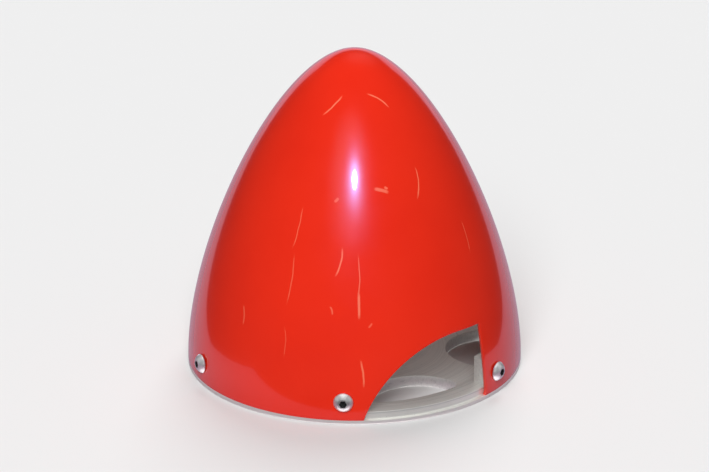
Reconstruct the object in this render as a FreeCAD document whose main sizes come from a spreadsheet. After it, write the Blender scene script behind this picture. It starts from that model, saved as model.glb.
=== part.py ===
"""Two-blade propeller spinner: a moulded cone, a machined backplate and the screws that join them.

The origin is the centre of the backplate's rear face. +Z runs forward along the shaft to the nose,
the blades leave along -Y and +Y, and the first fixing lug stands on +X. All lengths are millimetres.
"""
import FreeCAD, Part
import math
import os

import Sketcher

# Driving dimensions: name, value, what it measures.
SIZES = [
    ("cone_radius", 50.0, "outside radius of the cone's rim and of the backplate's flange"),
    ("cone_height", 95.0, "rim to nose tip"),
    ("flank_handle", 35.0, "how far the profile runs straight up before it bends in"),
    ("nose_handle", 21.5, "how far the nose runs level before it bends down"),
    ("cone_wall", 1.2, "laminate thickness of the cone"),
    ("notch_half_width", 19.8, "blade notch, centre line to either foot at the rim"),
    ("notch_height", 22.0, "rim to the level top of the blade notch"),
    ("notch_arc_radius", 31.8, "curved side of the notch, over the blade's leading face"),
    ("notch_side_lean", 1.4, "how far the straight side of the notch leans in at its top"),
    ("blade_count", 2, "blade notches around the cone"),
    ("screw_rise", 5.7, "rim to the axis of the fixing screws"),
    ("screw_count", 6, "fixing lugs, screws and plate slots around the spinner"),
    ("screw_thread", 3.0, "thread diameter"),
    ("screw_length", 6.0, "shank length under the head"),
    ("screw_end_chamfer", 0.35, "chamfer at the end of the thread"),
    ("head_radius", 2.85, "button head, outside radius"),
    ("head_height", 1.65, "button head, seat to crown"),
    ("head_rim", 0.3, "straight edge of the button head below its dome"),
    ("dome_radius", 3.2, "button head, radius of its domed shoulder"),
    ("crown_radius", 1.5, "flat crown of the head around the socket"),
    ("socket_width", 2.0, "hexagon socket across flats"),
    ("socket_depth", 1.05, "hexagon socket below the crown"),
    ("thread_clearance", 0.05, "side gap between the screw and its tapped hole"),
    ("hole_clearance", 0.2, "side gap between the screw and its hole in the cone"),
    ("head_clearance", 0.02, "gap between the head and the cone at the head's lower edge"),
    ("register_clearance", 0.1, "side gap between the cone and the backplate's step"),
    ("flange_thickness", 1.3, "rear disc that carries the cone's rim"),
    ("plate_thickness", 3.5, "rear face to the front face of the plate"),
    ("boss_radius", 25.0, "front face of the raised centre that the hub sits on"),
    ("boss_height", 0.7, "raised centre above the plate"),
    ("boss_chamfer", 1.2, "width of the slope around the raised centre"),
    ("bore_radius", 5.0, "shaft bore"),
    ("edge_break", 0.25, "small chamfers on the turned edges and hole mouths"),
    ("lug_width", 7.2, "fixing lug across its sides"),
    ("lug_depth", 4.6, "fixing lug, front to back at its foot"),
    ("lug_height", 8.0, "fixing lug above the plate"),
    ("slot_outer_radius", 42.6, "outer side of the slots, concentric with the rim"),
    ("slot_arc_centre", 42.0, "centre of the slots' inner arc, from the shaft axis"),
    ("slot_arc_radius", 14.6, "radius of the slots' inner arc"),
    ("slot_corner", 3.0, "corner radius of the slots"),
]

# Sizes that follow from the driving ones. Near its rim the cone's profile is a parabola of this
# curvature, which sets the head's seat and the lean of the lugs.
FITS = [
    ("rim_curvature", "2 / 3 * (sizes.cone_radius - sizes.nose_handle) / sizes.flank_handle ^ 2"),
    ("head_foot", "max(sizes.screw_rise - sizes.head_radius; 0)"),
    ("seat_radius", "sizes.cone_radius + sizes.head_clearance - rim_curvature * head_foot ^ 2 / 2"),
    ("inner_radius", "sizes.cone_radius - sizes.cone_wall"),
    ("inner_height", "sizes.cone_height - sizes.cone_wall"),
    ("shoulder_lean", "atan((sizes.cone_radius - sizes.nose_handle)"
                      " / (sizes.cone_height - sizes.flank_handle))"),
    ("inner_flank_handle", "sizes.flank_handle - sizes.cone_wall * tan(shoulder_lean / 2)"),
    ("inner_nose_handle", "sizes.nose_handle - sizes.cone_wall * tan(45 deg - shoulder_lean / 2)"),
    ("register_radius", "inner_radius - sizes.register_clearance"),
    ("lug_top", "sizes.plate_thickness + sizes.lug_height"),
    ("lug_rise", "lug_top - sizes.flange_thickness"),
    ("lug_top_radius", "register_radius - rim_curvature * lug_rise ^ 2 / 2"),
    ("lug_inner_radius", "register_radius - sizes.lug_depth"),
    ("screw_level", "sizes.flange_thickness + sizes.screw_rise"),
    ("boss_top", "sizes.plate_thickness + sizes.boss_height"),
    ("screw_radius", "sizes.screw_thread / 2"),
    ("tapped_radius", "screw_radius + sizes.thread_clearance"),
    ("clearance_radius", "screw_radius + sizes.hole_clearance"),
    ("notch_centre", "sqrt(sizes.notch_arc_radius ^ 2 - (sizes.notch_arc_radius - sizes.notch_height) ^ 2)"
                     " - sizes.notch_half_width"),
    ("notch_corner", "sizes.notch_half_width - sizes.notch_side_lean"),
    ("slot_end_level", "((sizes.slot_outer_radius - sizes.slot_corner) ^ 2"
                       " - (sizes.slot_arc_radius - sizes.slot_corner) ^ 2"
                       " + sizes.slot_arc_centre ^ 2) / (2 * sizes.slot_arc_centre)"),
    ("slot_end_offset", "sqrt((sizes.slot_outer_radius - sizes.slot_corner) ^ 2 - slot_end_level ^ 2)"),
]

# How far a cutting tool runs past the faces that it cuts through.
OVERRUN = 1.0

document = FreeCAD.newDocument("propeller_spinner")


def fill_sheet(name, rows):
    """A sheet with one row for each size: its name, its cell and, where there is one, its meaning."""
    sheet = document.addObject("Spreadsheet::Sheet", name)
    for row, (alias, content, *meaning) in enumerate(rows, start=1):
        sheet.set(f"A{row}", alias)
        sheet.set(f"B{row}", str(content))
        sheet.setAlias(f"B{row}", alias)
        if meaning:
            sheet.set(f"C{row}", meaning[0])
    document.recompute()
    return sheet


sizes = fill_sheet("sizes", SIZES)
fits = fill_sheet("fits", [(alias, "=" + formula) for alias, formula in FITS])


def number(expression):
    """The value that an expression over the two sheets has now."""
    return float(sizes.evalExpression(str(expression)))


def new_body(label):
    """An empty body, named as its exported part."""
    body = document.addObject("PartDesign::Body", label)
    body.Label = label
    return body


def new_sketch(body, role, name, offset=None):
    """A sketch on one of the body's origin planes, moved along the plane's normal by an offset."""
    plane = next(item for item in body.Origin.OriginFeatures if item.Role == role)
    sketch = body.newObject("Sketcher::SketchObject", name)
    sketch.AttachmentSupport = [(plane, "")]
    sketch.MapMode = "FlatFace"
    if offset:
        sketch.setExpression("AttachmentOffset.Base.z", offset)
    document.recompute()
    return sketch


def bind(sketch, constraint, name, expression):
    """Add a named dimension to a sketch and drive it by an expression."""
    index = sketch.addConstraint(constraint)
    sketch.renameConstraint(index, name)
    sketch.setExpression(f"Constraints.{name}", expression)


def pin(sketch, geometry, point, name, x, y):
    """Fix a sketch point at (x, y) from the sketch's origin, both given as expressions."""
    for letter, kind, axis, expression in (("x", "DistanceX", -2, x), ("y", "DistanceY", -1, y)):
        value = number(expression)
        if str(expression) == "0":
            sketch.addConstraint(Sketcher.Constraint("PointOnObject", geometry, point, axis))
        elif value < 0:
            constraint = Sketcher.Constraint(kind, geometry, point, -1, 1, -value)
            bind(sketch, constraint, f"{name}_{letter}", f"-({expression})")
        else:
            constraint = Sketcher.Constraint(kind, -1, 1, geometry, point, value)
            bind(sketch, constraint, f"{name}_{letter}", expression)


def vector(x, y):
    """The sketch point that two expressions give."""
    return FreeCAD.Vector(number(x), number(y), 0)


def arc_between(start, end, radius):
    """The counter-clockwise arc of a radius from one point to another."""
    chord = end - start
    half = chord.Length / 2
    leftward = FreeCAD.Vector(-chord.y, chord.x, 0).normalize()
    centre = (start + end) / 2 + leftward * math.sqrt(radius ** 2 - half ** 2)
    angles = [math.atan2(point.y - centre.y, point.x - centre.x) for point in (start, end)]
    return Part.ArcOfCircle(Part.Circle(centre, FreeCAD.Vector(0, 0, 1), radius), *angles)


def draw_outline(sketch, corners, arcs=None):
    """Close a counter-clockwise outline through named corners, each pinned by two expressions.

    Its edges are straight, apart from those that start at a corner named in arcs, with the radius.
    """
    arcs = arcs or {}
    names = list(corners)
    first = sketch.GeometryCount
    for name, following in zip(names, names[1:] + names[:1]):
        start = vector(*corners[name])
        end = vector(*corners[following])
        if name in arcs:
            sketch.addGeometry(arc_between(start, end, number(arcs[name])))
        else:
            sketch.addGeometry(Part.LineSegment(start, end))
    for step, name in enumerate(names):
        before = first + (step - 1) % len(names)
        sketch.addConstraint(Sketcher.Constraint("Coincident", before, 2, first + step, 1))
        pin(sketch, first + step, 1, name, *corners[name])
        if name in arcs:
            radius = Sketcher.Constraint("Radius", first + step, number(arcs[name]))
            bind(sketch, radius, f"{name}_radius", arcs[name])


def add_feature(body, kind, name, profile, settings):
    """Add a PartDesign feature on a profile, set its plain properties and recompute."""
    feature = body.newObject(f"PartDesign::{kind}", name)
    feature.Profile = profile
    for key, setting in settings.items():
        setattr(feature, key, setting)
    document.recompute()
    return feature


def add_pattern(body, feature, name, count):
    """Repeat a feature evenly around the shaft axis and make the pattern the body's tip."""
    axis = next(item for item in body.Origin.OriginFeatures if item.Role == "Z_Axis")
    pattern = body.newObject("PartDesign::PolarPattern", name)
    pattern.Originals = [feature]
    pattern.Axis = (axis, [""])
    pattern.Angle = 360
    pattern.setExpression("Occurrences", count)
    body.Tip = pattern
    document.recompute()
    return pattern


def draw_circle(sketch, name, x, y, radius):
    """A circle whose centre and radius are given as expressions."""
    circle = Part.Circle(vector(x, y), FreeCAD.Vector(0, 0, 1), number(radius))
    index = sketch.addGeometry(circle)
    pin(sketch, index, 3, name, x, y)
    bind(sketch, Sketcher.Constraint("Radius", index, number(radius)), f"{name}_radius", radius)


def draw_curve(sketch, name, poles):
    """A smooth curve between the first and last pole, drawn towards the two between them."""
    points = [vector(*pole) for pole in poles]
    curve = sketch.addGeometry(Part.BSplineCurve(points, None, None, False, 3, None, False))
    circles = []
    for order, point in enumerate(points):
        circle = sketch.addGeometry(Part.Circle(point, FreeCAD.Vector(0, 0, 1), 1), True)
        alignment = "InternalAlignment:Sketcher::BSplineControlPoint"
        sketch.addConstraint(Sketcher.Constraint(alignment, circle, 3, curve, order))
        circles.append(circle)
    sketch.addConstraint(Sketcher.Constraint("Weight", circles[0], 1.0))
    for circle in circles[1:]:
        sketch.addConstraint(Sketcher.Constraint("Equal", circles[0], circle))
    for order, (circle, pole) in enumerate(zip(circles, poles)):
        pin(sketch, circle, 3, f"{name}_pole_{order}", *pole)
    return curve


def draw_shell(sketch):
    """The cone's wall in section: two curves, upright at the rim and level at the nose."""
    outer = draw_curve(sketch, "outer", [
        ("sizes.cone_radius", "0"),
        ("sizes.cone_radius", "sizes.flank_handle"),
        ("sizes.nose_handle", "sizes.cone_height"),
        ("0", "sizes.cone_height"),
    ])
    inner = draw_curve(sketch, "inner", [
        ("0", "fits.inner_height"),
        ("fits.inner_nose_handle", "fits.inner_height"),
        ("fits.inner_radius", "fits.inner_flank_handle"),
        ("fits.inner_radius", "0"),
    ])
    tip_outer, tip_inner = vector("0", "sizes.cone_height"), vector("0", "fits.inner_height")
    rim_inner, rim_outer = vector("fits.inner_radius", "0"), vector("sizes.cone_radius", "0")
    nose = sketch.addGeometry(Part.LineSegment(tip_outer, tip_inner))
    rim = sketch.addGeometry(Part.LineSegment(rim_inner, rim_outer))
    for before, after in ((outer, nose), (nose, inner), (inner, rim), (rim, outer)):
        sketch.addConstraint(Sketcher.Constraint("Coincident", before, 2, after, 1))


def draw_notch(sketch):
    """The blade's way out, open at the rim: a long arc, a level top and a straight side."""
    draw_outline(sketch, {
        "arc_top": ("fits.notch_centre", "sizes.notch_height"),
        "arc_foot": ("-sizes.notch_half_width", "0"),
        "arc_skirt": ("-sizes.notch_half_width", f"-{OVERRUN}"),
        "side_skirt": ("sizes.notch_half_width", f"-{OVERRUN}"),
        "side_foot": ("sizes.notch_half_width", "0"),
        "side_top": ("fits.notch_corner", "sizes.notch_height"),
    }, arcs={"arc_top": "sizes.notch_arc_radius"})


def build_cone():
    """The moulded shell, cut by the blade notches and drilled for the screws."""
    body = new_body("cone")
    section = new_sketch(body, "XZ_Plane", "cone_section")
    draw_shell(section)
    add_feature(body, "Revolution", "cone_shell", section, {
        "ReferenceAxis": (section, ["V_Axis"]),
        "Angle": 360,
    })
    notch = new_sketch(body, "XZ_Plane", "notch_outline")
    draw_notch(notch)
    cut = add_feature(body, "Pocket", "blade_notch", notch, {"Type": "Length", "Reversed": True})
    cut.setExpression("Length", f"sizes.cone_radius + {OVERRUN}")
    add_pattern(body, cut, "blade_notches", "sizes.blade_count")
    hole = new_sketch(body, "YZ_Plane", "screw_hole_circle")
    draw_circle(hole, "hole", "0", "sizes.screw_rise", "fits.clearance_radius")
    drill = add_feature(body, "Pocket", "screw_hole", hole, {"Type": "Length", "Reversed": True})
    drill.setExpression("Length", f"sizes.cone_radius + {OVERRUN}")
    add_pattern(body, drill, "screw_holes", "sizes.screw_count")
    body.setExpression("Placement.Base.z", "sizes.flange_thickness")
    return body


def draw_slot(sketch):
    """A lens-shaped slot: an arc that bulges to the centre, one along the rim, two round corners."""
    outer = number("sizes.slot_outer_radius")
    inner = number("sizes.slot_arc_radius")
    corner = number("sizes.slot_corner")
    inner_centre = vector("0", "sizes.slot_arc_centre")
    right_centre = vector("fits.slot_end_offset", "fits.slot_end_level")
    left_centre = vector("-fits.slot_end_offset", "fits.slot_end_level")
    normal = FreeCAD.Vector(0, 0, 1)
    outward = math.atan2(right_centre.y, right_centre.x)
    inward = math.atan2(right_centre.y - inner_centre.y, right_centre.x)
    arcs = [
        (FreeCAD.Vector(0, 0, 0), outer, outward, math.pi - outward),
        (left_centre, corner, math.pi - outward, math.pi - inward),
        (inner_centre, inner, math.pi - inward, 2 * math.pi + inward),
        (right_centre, corner, inward, outward),
    ]
    first = sketch.GeometryCount
    for centre, radius, start, end in arcs:
        sketch.addGeometry(Part.ArcOfCircle(Part.Circle(centre, normal, radius), start, end))
    for order in range(4):
        following = (order + 1) % 4
        tangent = Sketcher.Constraint("Tangent", first + order, 2, first + following, 1)
        sketch.addConstraint(tangent)
    sketch.addConstraint(Sketcher.Constraint("Coincident", first, 3, -1, 1))
    pin(sketch, first + 2, 3, "inner_centre", "0", "sizes.slot_arc_centre")
    bind(sketch, Sketcher.Constraint("Radius", first, outer), "outer_radius", "sizes.slot_outer_radius")
    bind(sketch, Sketcher.Constraint("Radius", first + 2, inner), "inner_radius", "sizes.slot_arc_radius")
    bind(sketch, Sketcher.Constraint("Radius", first + 1, corner), "left_corner", "sizes.slot_corner")
    bind(sketch, Sketcher.Constraint("Radius", first + 3, corner), "right_corner", "sizes.slot_corner")


def build_backplate():
    """The turned disc with its register step and boss, its milled slots and its drilled lugs."""
    body = new_body("backplate")
    section = new_sketch(body, "XZ_Plane", "plate_section")
    draw_outline(section, {
        "bore_rear": ("sizes.bore_radius + sizes.edge_break", "0"),
        "flange_rear": ("sizes.cone_radius - sizes.edge_break", "0"),
        "flange_side": ("sizes.cone_radius", "sizes.edge_break"),
        "ledge_outer": ("sizes.cone_radius", "sizes.flange_thickness"),
        "ledge_inner": ("fits.register_radius", "sizes.flange_thickness"),
        "register_top": ("fits.register_radius", "sizes.plate_thickness"),
        "boss_foot": ("sizes.boss_radius + sizes.boss_chamfer", "sizes.plate_thickness"),
        "boss_edge": ("sizes.boss_radius", "fits.boss_top"),
        "bore_front": ("sizes.bore_radius + sizes.edge_break", "fits.boss_top"),
        "bore_front_side": ("sizes.bore_radius", "fits.boss_top - sizes.edge_break"),
        "bore_rear_side": ("sizes.bore_radius", "sizes.edge_break"),
    })
    add_feature(body, "Revolution", "plate_disc", section, {
        "ReferenceAxis": (section, ["V_Axis"]),
        "Angle": 360,
    })

    slot = new_sketch(body, "XY_Plane", "slot_outline")
    slot.setExpression("AttachmentOffset.Rotation.Angle", "180 deg / sizes.screw_count - 90 deg")
    draw_slot(slot)
    opening = add_feature(body, "Pocket", "slot", slot, {"Type": "Length", "Reversed": True})
    opening.setExpression("Length", "fits.boss_top")
    add_pattern(body, opening, "slots", "sizes.screw_count")

    lug = new_sketch(body, "XZ_Plane", "lug_section")
    draw_outline(lug, {
        "foot_inner": ("fits.lug_inner_radius", "sizes.flange_thickness"),
        "foot_outer": ("sizes.cone_radius", "sizes.flange_thickness"),
        "top_outer": ("sizes.cone_radius", "fits.lug_top"),
        "top_inner": ("fits.lug_inner_radius", "fits.lug_top"),
    })
    block = add_feature(body, "Pad", "lug", lug, {"Midplane": True})
    block.setExpression("Length", "sizes.lug_width")
    add_pattern(body, block, "lugs", "sizes.screw_count")

    trim = new_sketch(body, "XZ_Plane", "lug_trim_section")
    draw_outline(trim, {
        "ledge": ("fits.register_radius", "sizes.flange_thickness"),
        "ledge_past_rim": (f"sizes.cone_radius + {OVERRUN}", "sizes.flange_thickness"),
        "past_rim": (f"sizes.cone_radius + {OVERRUN}", f"fits.lug_top + {OVERRUN}"),
        "past_top": ("fits.lug_top_radius", f"fits.lug_top + {OVERRUN}"),
        "top": ("fits.lug_top_radius", "fits.lug_top"),
        "step": ("fits.register_radius", "sizes.plate_thickness"),
    })
    add_feature(body, "Groove", "lug_trim", trim, {
        "ReferenceAxis": (trim, ["V_Axis"]),
        "Angle": 360,
    })

    side = "fits.screw_level + fits.tapped_radius"
    tapping = new_sketch(body, "XZ_Plane", "tapped_hole_section")
    draw_outline(tapping, {
        "axis_inner": ("fits.lug_inner_radius", "fits.screw_level"),
        "mouth_inner": ("fits.lug_inner_radius", f"{side} + sizes.edge_break"),
        "thread_inner": ("fits.lug_inner_radius + sizes.edge_break", side),
        "thread_outer": ("fits.register_radius", side),
        "axis_outer": ("fits.register_radius", "fits.screw_level"),
    })
    hole = add_feature(body, "Groove", "tapped_hole", tapping, {
        "ReferenceAxis": (tapping, ["Edge5"]),
        "Angle": 360,
    })
    add_pattern(body, hole, "tapped_holes", "sizes.screw_count")
    return body


def draw_screw_section(sketch):
    """Half the screw's section: shank to -X with a chamfered end, domed head to +X."""
    draw_outline(sketch, {
        "shank_end": ("-sizes.screw_length", "0"),
        "crown": ("sizes.head_height", "0"),
        "crown_edge": ("sizes.head_height", "sizes.crown_radius"),
        "dome_foot": ("sizes.head_rim", "sizes.head_radius"),
        "head_seat": ("0", "sizes.head_radius"),
        "shank_root": ("0", "fits.screw_radius"),
        "chamfer_large": ("-(sizes.screw_length - sizes.screw_end_chamfer)", "fits.screw_radius"),
        "chamfer_small": ("-sizes.screw_length", "fits.screw_radius - sizes.screw_end_chamfer"),
    }, arcs={"crown_edge": "sizes.dome_radius"})


def draw_socket(sketch):
    """A hexagon with two flats level."""
    flat = "sizes.socket_width / 2"
    corner = "sizes.socket_width / sqrt(3)"
    draw_outline(sketch, {
        "right": (corner, "0"),
        "upper_right": (f"{corner} / 2", flat),
        "upper_left": (f"-{corner} / 2", flat),
        "left": (f"-{corner}", "0"),
        "lower_left": (f"-{corner} / 2", f"-{flat}"),
        "lower_right": (f"{corner} / 2", f"-{flat}"),
    })


def build_screw(order):
    """One button-head screw with a hexagon socket, pointing at the shaft in its lug's place."""
    body = new_body(f"cone_screw_{order + 1}")
    section = new_sketch(body, "XZ_Plane", f"screw_section_{order + 1}")
    draw_screw_section(section)
    add_feature(body, "Revolution", f"screw_form_{order + 1}", section, {
        "ReferenceAxis": (section, ["H_Axis"]),
        "Angle": 360,
    })
    hexagon = new_sketch(body, "YZ_Plane", f"socket_hexagon_{order + 1}", "sizes.head_height")
    draw_socket(hexagon)
    socket = add_feature(body, "Pocket", f"socket_{order + 1}", hexagon, {"Type": "Length"})
    socket.setExpression("Length", "sizes.socket_depth")
    turn = f"{order} * 360 deg / sizes.screw_count"
    body.Placement.Rotation = FreeCAD.Rotation(FreeCAD.Vector(0, 0, 1), 0)
    body.setExpression("Placement.Rotation.Angle", turn)
    body.setExpression("Placement.Base.x", f"fits.seat_radius * cos({turn})")
    body.setExpression("Placement.Base.y", f"fits.seat_radius * sin({turn})")
    body.setExpression("Placement.Base.z", "fits.screw_level")
    return body


def check_document():
    """Stop if any object failed, or if a cut left its body as large as it was."""
    for item in document.Objects:
        if "Invalid" in item.State or "Error" in item.State:
            raise RuntimeError(f"{item.Label} failed: {item.State}")
        if item.TypeId in ("PartDesign::Pocket", "PartDesign::Groove"):
            if item.Shape.Volume >= item.BaseFeature.Shape.Volume:
                raise RuntimeError(f"{item.Label} cuts nothing")


def export_parts(bodies):
    """Write each body's one valid solid to its own STEP file."""
    os.makedirs("parts", exist_ok=True)
    for body in bodies:
        shape = body.Shape
        if shape.isNull() or not shape.isValid() or len(shape.Solids) != 1:
            raise RuntimeError(f"{body.Label} is not one valid solid")
        shape.exportStep(f"parts/{body.Label}.step")
        print(f"{body.Label}: {shape.Volume:.1f} mm3, {len(shape.Faces)} faces")


parts = [build_cone(), build_backplate()]
parts += [build_screw(order) for order in range(int(number("sizes.screw_count")))]
document.recompute()
check_document()
export_parts(parts)
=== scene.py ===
"""Propeller spinner: a red moulded cone on a machined backplate, held by six button-head screws.

Lengths are metres. The origin is the centre of the backplate's rear face, +Z runs to the nose, the
blades leave along -Y and +Y, and the first screw is on +X.
"""

import math

import bmesh
import bpy
from bmesh.types import BMEdge, BMFace, BMVert
from mathutils import Matrix, Vector


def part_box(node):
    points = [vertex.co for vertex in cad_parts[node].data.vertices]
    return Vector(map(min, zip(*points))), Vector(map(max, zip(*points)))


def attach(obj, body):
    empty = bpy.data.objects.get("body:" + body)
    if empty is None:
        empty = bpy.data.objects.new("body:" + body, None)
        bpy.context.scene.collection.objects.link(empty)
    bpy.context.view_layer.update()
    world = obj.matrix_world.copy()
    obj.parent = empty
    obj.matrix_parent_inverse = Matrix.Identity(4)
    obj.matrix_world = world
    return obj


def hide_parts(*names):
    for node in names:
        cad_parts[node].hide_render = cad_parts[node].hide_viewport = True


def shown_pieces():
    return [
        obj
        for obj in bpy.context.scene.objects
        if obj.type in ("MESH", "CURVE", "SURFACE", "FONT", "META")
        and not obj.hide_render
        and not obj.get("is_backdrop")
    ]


bl_info = {
    "name": "Propeller Spinner",
    "version": (1, 0, 0),
    "blender": (4, 5, 0),
    "location": "3D View > Sidebar > Spinner",
    "description": "Builds a two-blade propeller spinner around its packed model",
    "category": "Add Mesh",
}

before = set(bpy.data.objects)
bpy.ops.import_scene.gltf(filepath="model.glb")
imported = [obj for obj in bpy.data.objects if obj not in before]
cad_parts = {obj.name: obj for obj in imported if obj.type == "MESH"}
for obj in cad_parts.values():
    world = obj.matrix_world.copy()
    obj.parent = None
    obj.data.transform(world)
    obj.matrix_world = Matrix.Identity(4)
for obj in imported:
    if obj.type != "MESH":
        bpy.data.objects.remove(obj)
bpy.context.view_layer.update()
cone_low, cone_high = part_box("cone")
plate_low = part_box("backplate")[0]
screw_low, screw_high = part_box("cone_screw_1")

MM = 0.001
MERGE = 0.001 * MM  # vertices closer than this are one
HALVINGS = 40  # steps of a search by halving
FLAT = math.radians(0.5)  # facets that meet at less lie in one plane
SMOOTH = math.radians(30)  # faces that meet at less are shaded as one surface
SHARP = math.radians(40)  # edges whose faces meet at more are rounded
SCREWS = 6

# Half of the cone is made first, with one notch and the holes at these turns, and then doubled.
# Turns are degrees round the shaft axis.
HALF_START = -150.0
HOLE_TURNS = (-120.0, -60.0, 0.0)

# How finely the cone is divided: faces all round it, rows from the rim to the screws' axes and as
# many faces across each hole, and rows from above the holes to the nose.
COLUMNS = 288
HOLE_CELLS = 6
NOSE_ROWS = 92

# How often the notch's vertices are spaced out and the sheet around them is eased, and how near to
# the notch's outline a vertex lies on it.
SPACINGS = 40
EASINGS = 12
ON_OUTLINE = 0.05 * MM

# How finely a screw is divided: sides of its head, rows of its dome, and steps in a turn of thread.
HEAD_SIDES = 48
DOME_ROWS = 8
THREAD_STEPS = 24

# Fine lighter streaks on the gel coat, rougher and with less coat: turn round the shaft axis in
# degrees, height over the rim, length and width in millimetres, tilt to the right in degrees, bend
# in millimetres, strength.
LIGHT_STREAKS = [
    (-135.6, 83.4, 8.8, 0.5, 34.0, 0.6, 0.8),
    (-92.2, 84.9, 8.4, 0.5, -46.0, 0.7, 0.8),
    (-81.6, 63.2, 10.4, 0.45, 13.0, 0.8, 0.7),
    (-102.5, 62.9, 5.0, 1.0, -72.0, 0.2, 0.6),
    (-100.0, 63.3, 1.4, 0.8, -60.0, 0.0, 0.6),
    (-125.0, 60.4, 2.0, 0.9, 42.0, 0.3, 0.55),
    (-141.6, 52.4, 13.4, 0.35, 5.0, 0.5, 0.5),
    (-141.0, 38.6, 16.0, 0.4, 1.0, 0.6, 0.4),
    (-121.9, 44.4, 9.4, 0.5, 11.0, 0.7, 0.75),
    (-114.4, 39.7, 16.5, 0.35, 1.0, 0.4, 0.55),
    (-114.5, 33.0, 8.8, 0.75, 0.0, 0.2, 0.7),
    (-124.6, 31.5, 2.9, 0.6, -20.0, 0.3, 0.45),
    (-113.5, 14.0, 9.0, 0.6, -5.0, 0.4, 0.65),
    (-110.6, 27.4, 2.0, 0.6, 40.0, 0.2, 0.4),
    (-159.6, 25.8, 6.6, 0.6, -9.0, 0.4, 0.35),
    (-140.8, 21.4, 10.1, 0.4, -5.0, 0.5, 0.25),
    (-62.0, 46.0, 11.0, 0.4, 4.0, 0.5, 0.35),
    (14.0, 55.0, 9.0, 0.45, -6.0, 0.6, 0.5),
    (38.0, 34.0, 14.0, 0.4, 3.0, 0.4, 0.45),
    (150.0, 42.0, 12.0, 0.4, -4.0, 0.5, 0.45),
]

# Soft lamps that only the metal shows: name, turn from the camera and rise in degrees, share of the
# full power, and whether the lamp shines through the floor and the cone.
METAL_LAMPS = [
    ("front", 0.0, 18.0, 1.0, False),
    ("left", -85.0, 18.0, 1.0, False),
    ("right", 85.0, 18.0, 1.0, False),
    ("rear", 180.0, 20.0, 1.0, True),
    ("top", 0.0, 88.0, 2.2, True),
    ("under", 0.0, -80.0, 2.2, True),
]


def length(name, description, default):
    """A length property, in metres."""
    return bpy.props.FloatProperty(
        name=name, description=description, default=default, min=0.0,
        precision=5, subtype="DISTANCE", unit="LENGTH",
    )


def angle(name, description, degrees):
    """An angle property, whose default is given in degrees."""
    return bpy.props.FloatProperty(
        name=name, description=description, default=math.radians(degrees),
        subtype="ANGLE", unit="ROTATION",
    )


def power(name, description, default):
    """A lamp's power property, in watts."""
    return bpy.props.FloatProperty(
        name=name, description=description, default=default, min=0.0,
        subtype="POWER", unit="POWER",
    )


def share(name, description, default):
    """A property that is a share of full light."""
    return bpy.props.FloatProperty(name=name, description=description, default=default, min=0.0)


def colour(name, description, default):
    """A colour property, in linear light."""
    return bpy.props.FloatVectorProperty(
        name=name, description=description, default=default, min=0.0, max=1.0,
        size=3, subtype="COLOR",
    )


class ConeSizes(bpy.types.PropertyGroup):
    """Sizes of the moulded cone."""

    radius: length("Radius", "Outside radius at the rim", cone_high.x)
    height: length("Height", "Rim to nose tip", cone_high.z - cone_low.z)
    flank_handle: length("Flank handle", "How far the profile heads straight up", 35.0 * MM)
    nose_handle: length("Nose handle", "How far the nose heads outwards", 21.5 * MM)
    wall: length("Wall", "Thickness of the laminate", 1.2 * MM)
    edge: length("Edge", "Rounding of the cut edges", 0.16 * MM)
    notch_half_width: length("Notch half width", "Centre line to either foot", 19.8 * MM)
    notch_height: length("Notch height", "Rim to the level top of the notch", 22.0 * MM)
    notch_arc: length("Notch arc", "Radius of the curved side", 31.8 * MM)
    notch_lean: length("Notch lean", "How far the straight side leans in at its top", 1.4 * MM)
    hole_rise: length("Hole rise", "Rim to the axis of the screw holes", 5.7 * MM)
    hole_radius: length("Hole radius", "Screw holes in the cone", 1.7 * MM)


class PlateSizes(bpy.types.PropertyGroup):
    """Sizes of the backplate's finish."""

    edge: length("Edge", "Rounding of the turned and milled edges", 0.12 * MM)


class ScrewSizes(bpy.types.PropertyGroup):
    """Sizes of the button-head screws."""

    head_radius: length("Head radius", "Outside radius of the head", 2.85 * MM)
    head_height: length("Head height", "Seat to crown", 1.65 * MM)
    head_rim: length("Head rim", "Straight edge below the dome", 0.3 * MM)
    head_edge: length("Head edge", "Rounding of the head's lower edge", 0.06 * MM)
    dome: length("Dome", "Radius of the domed shoulder", 3.2 * MM)
    crown_radius: length("Crown radius", "Flat crown around the socket", 1.5 * MM)
    socket_width: length("Socket width", "Hexagon across its flats", 2.0 * MM)
    socket_depth: length("Socket depth", "Hexagon below the crown", 1.05 * MM)
    drill_point: length("Drill point", "Hollow cone at the bottom of the socket", 0.25 * MM)
    shank: length("Shank", "Length under the head", 6.0 * MM)
    fillet: length("Fillet", "Hollow corner under the head", 0.1 * MM)
    neck: length("Neck", "Plain shank next to the head", 0.3 * MM)
    thread_start: length("Thread start", "Seat to the first full thread", 0.55 * MM)
    thread_radius: length("Thread radius", "Outside radius of the thread", 1.5 * MM)
    thread_depth: length("Thread depth", "Crest to root", 0.3 * MM)
    pitch: length("Pitch", "Rise of the thread in one turn", 0.5 * MM)
    chamfer: length("Chamfer", "Taper at the end of the thread", 0.35 * MM)


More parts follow.
